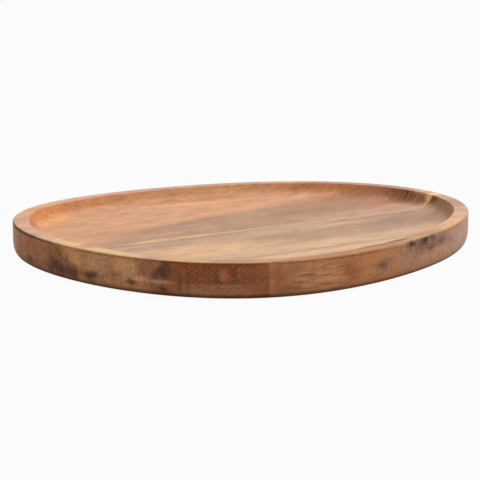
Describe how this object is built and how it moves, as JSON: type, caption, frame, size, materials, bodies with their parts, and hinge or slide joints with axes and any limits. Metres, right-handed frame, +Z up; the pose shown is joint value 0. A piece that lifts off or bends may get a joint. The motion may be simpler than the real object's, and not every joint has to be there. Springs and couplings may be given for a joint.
{
  "type": "wooden serving tray",
  "caption": "Low pebble-shaped serving tray of edge-glued acacia boards, with a flat rim, a coved shallow dish and a rounded foot.",
  "frame": {"origin": "under the middle of the tray's box, on the surface it stands on", "axes": "+X along the boards' grain, towards the narrow end; +Y across the boards, towards the wide far board; +Z up"},
  "size_m": [0.3098, 0.264, 0.021],
  "materials": {
    "far_board_wood": "oiled acacia, pinkish orange with a grey-brown heart and pale sapwood along one edge",
    "middle_board_wood": "oiled acacia, grey-brown with dark flecks",
    "near_board_wood": "oiled acacia, cream to tan",
    "edge_strip_wood": "oiled acacia, orange-brown",
    "glue": "set wood glue, a thin dark line"
  },
  "bodies": {
    "root": {"far_board": "far_board_wood", "middle_board": "middle_board_wood", "near_board": "near_board_wood", "edge_strip": "edge_strip_wood", "far_glue_line": "glue", "near_glue_line": "glue", "edge_glue_line": "glue"}
  },
  "joints": []
}
